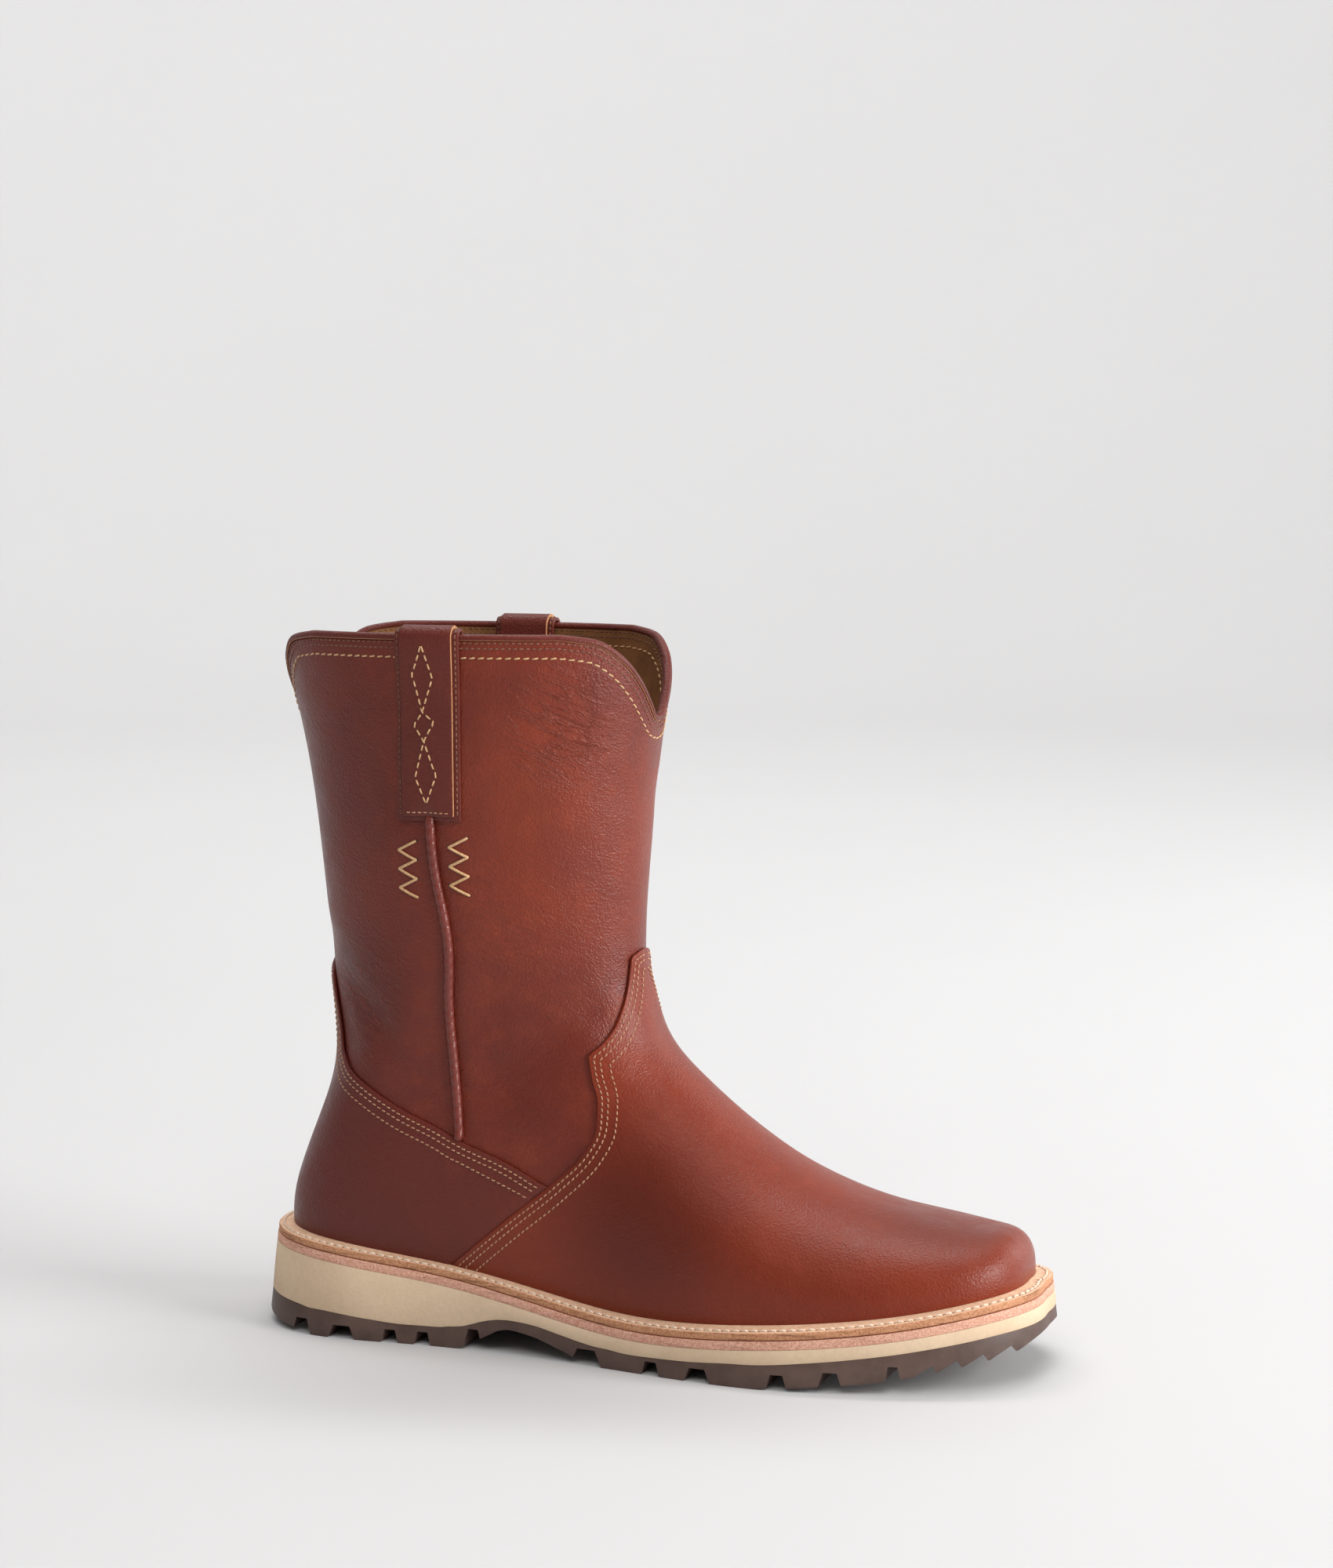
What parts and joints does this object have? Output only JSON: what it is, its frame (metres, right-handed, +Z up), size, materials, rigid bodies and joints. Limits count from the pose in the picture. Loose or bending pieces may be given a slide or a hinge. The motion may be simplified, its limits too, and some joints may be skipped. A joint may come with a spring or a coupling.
{
  "type": "western boot",
  "caption": "Pull-on western boot: hollow leather upper with a dipped collar and pull straps, on a welted, lugged wedge sole.",
  "frame": {"origin": "on the floor, under the middle of the heel's tread", "axes": "+X from the heel to the toe, +Y to the inner (medial) side of the foot, +Z up"},
  "size_m": [0.3124, 0.113, 0.277],
  "materials": {
    "upper_leather": "oiled, soft shine",
    "vamp_leather": "oiled, soft shine",
    "counter_leather": "oiled, soft shine",
    "binding_leather": "satin",
    "strap_leather": "satin",
    "welt_leather": "raw, matt",
    "midsole_leather": "raw edge, matt",
    "midsole_foam": "pebbled, matt",
    "outsole_rubber": "moulded, matt",
    "insole_leather": "brushed, matt"
  },
  "bodies": {
    "root": {"upper": "upper_leather", "vamp": "vamp_leather", "heel_counter": "counter_leather", "collar_binding": "binding_leather", "pull_strap_outer": "strap_leather", "pull_strap_inner": "strap_leather", "pull_strap_facing_outer": "strap_leather", "pull_strap_facing_inner": "strap_leather", "side_piping_outer": "binding_leather", "side_piping_inner": "binding_leather", "welt": "welt_leather", "midsole_leather": "midsole_leather", "midsole_wedge": "midsole_foam", "outsole": "outsole_rubber", "insole": "insole_leather"}
  },
  "joints": []
}
